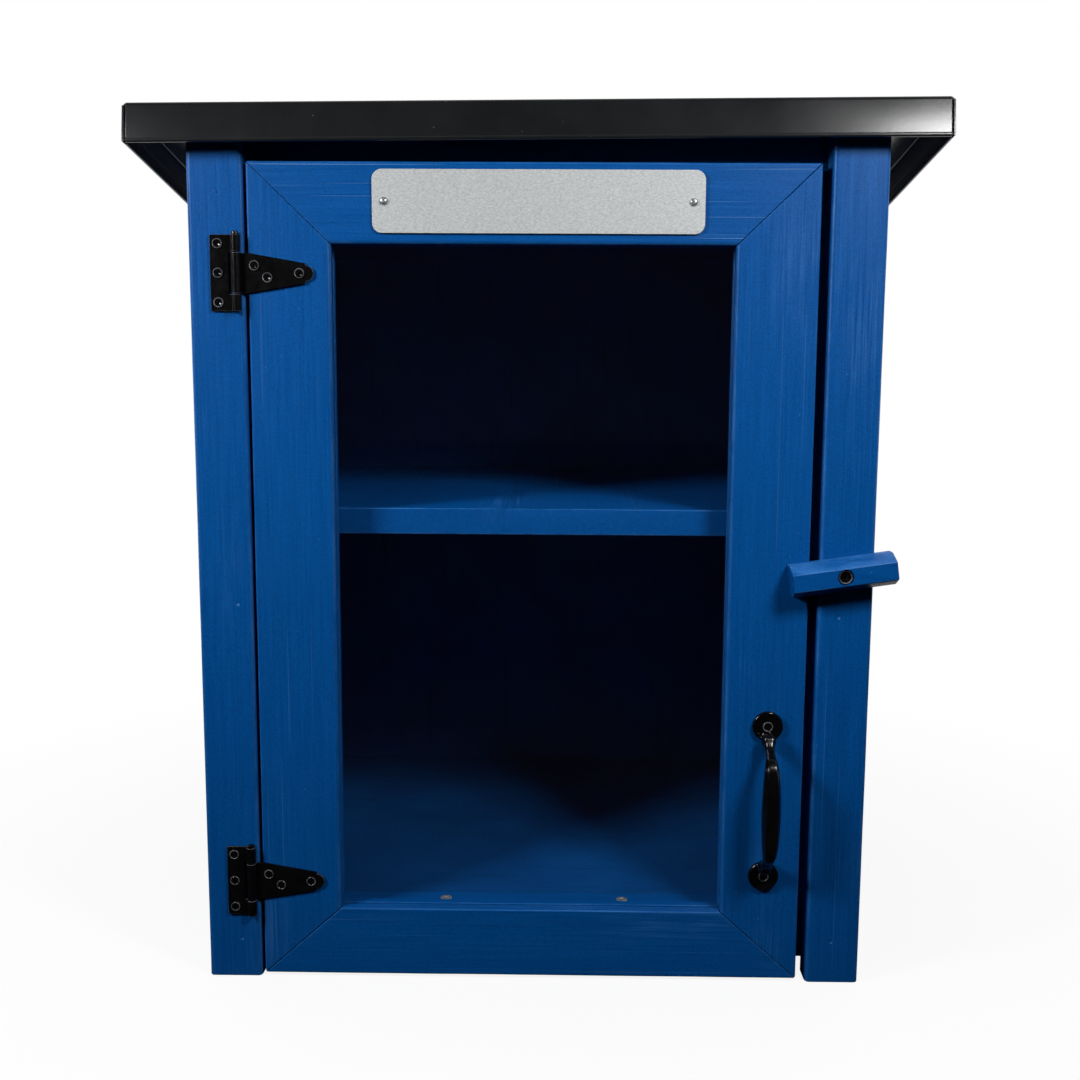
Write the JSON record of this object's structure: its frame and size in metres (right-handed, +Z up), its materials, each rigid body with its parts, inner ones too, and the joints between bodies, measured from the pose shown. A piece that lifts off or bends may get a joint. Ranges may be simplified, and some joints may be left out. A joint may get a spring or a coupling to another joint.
{
  "type": "street book exchange box",
  "caption": "Painted wooden cabinet for street book sharing, with a shelf, a glazed hinged door held by a turn button, and a sloping sheet-metal roof.",
  "frame": {"origin": "middle of the whole box's footprint, roof and handle included, on the plane that its feet stand on", "axes": "+Z up, +X to the right of someone who faces the door, +Y from the door to the back"},
  "size_m": [0.5292, 0.4324, 0.6003],
  "materials": {
    "blue_paint": "pine boards brushed with satin blue exterior paint",
    "blue_panel": "plywood panels brushed with the same blue paint",
    "roof_metal": "satin black coated sheet steel",
    "black_steel": "semi-gloss black coated steel",
    "black_gloss": "gloss black lacquered steel",
    "plate_metal": "satin aluminium, left bare",
    "bright_screw": "bright zinc-plated steel",
    "glazing": "clear glazing with a faint reflection"
  },
  "bodies": {
    "cabinet": {"corner_board_left": "blue_paint", "corner_board_right": "blue_paint", "side_trim_front_left": "blue_paint", "side_trim_rear_left": "blue_paint", "side_trim_front_right": "blue_paint", "side_trim_rear_right": "blue_paint", "floor_sill": "blue_paint", "header_rail": "blue_paint", "door_stop_left": "blue_paint", "door_stop_right": "blue_paint", "shelf": "blue_paint", "shelf_cleat_left": "blue_paint", "shelf_cleat_right": "blue_paint", "side_panel_left": "blue_panel", "side_panel_right": "blue_panel", "back_panel": "blue_panel", "floor_panel": "blue_panel", "roof_deck": "blue_panel", "roof_cap": "roof_metal", "roof_screw_front_left": "black_steel", "roof_screw_rear_left": "black_steel", "roof_screw_front_right": "black_steel", "roof_screw_rear_right": "black_steel", "hinge_leaf_lower": "black_steel", "hinge_leaf_upper": "black_steel", "hinge_pin_lower": "black_steel", "hinge_pin_upper": "black_steel", "leaf_screw_lower_1": "black_steel", "leaf_screw_lower_2": "black_steel", "leaf_screw_lower_3": "black_steel", "leaf_screw_upper_1": "black_steel", "leaf_screw_upper_2": "black_steel", "leaf_screw_upper_3": "black_steel", "turn_button_screw": "black_steel", "sill_screw_left": "bright_screw", "sill_screw_right": "bright_screw"},
    "door": {"door_stile_hinge": "blue_paint", "door_stile_latch": "blue_paint", "door_rail_top": "blue_paint", "door_rail_bottom": "blue_paint", "window_pane": "glazing", "sign_plate": "plate_metal", "sign_screw_left": "bright_screw", "sign_screw_right": "bright_screw", "pull_handle": "black_gloss", "pull_screw_lower": "black_gloss", "pull_screw_upper": "black_gloss", "hinge_strap_lower": "black_steel", "hinge_strap_upper": "black_steel", "strap_screw_lower_1": "black_steel", "strap_screw_lower_2": "black_steel", "strap_screw_lower_3": "black_steel", "strap_screw_upper_1": "black_steel", "strap_screw_upper_2": "black_steel", "strap_screw_upper_3": "black_steel"},
    "turn_button": {"turn_button": "blue_paint"}
  },
  "joints": [
    {"name": "door_hinge", "type": "hinge", "parent": "cabinet", "child": "door", "pos_m": [-0.1965, -0.18732, 0.28019], "axis": [0, 0, -1], "range_deg": [0, 180]},
    {"name": "turn_button_pivot", "type": "hinge", "parent": "cabinet", "child": "turn_button", "pos_m": [0.2056, -0.19362, 0.2925], "axis": [0, 1, 0], "continuous": true}
  ]
}
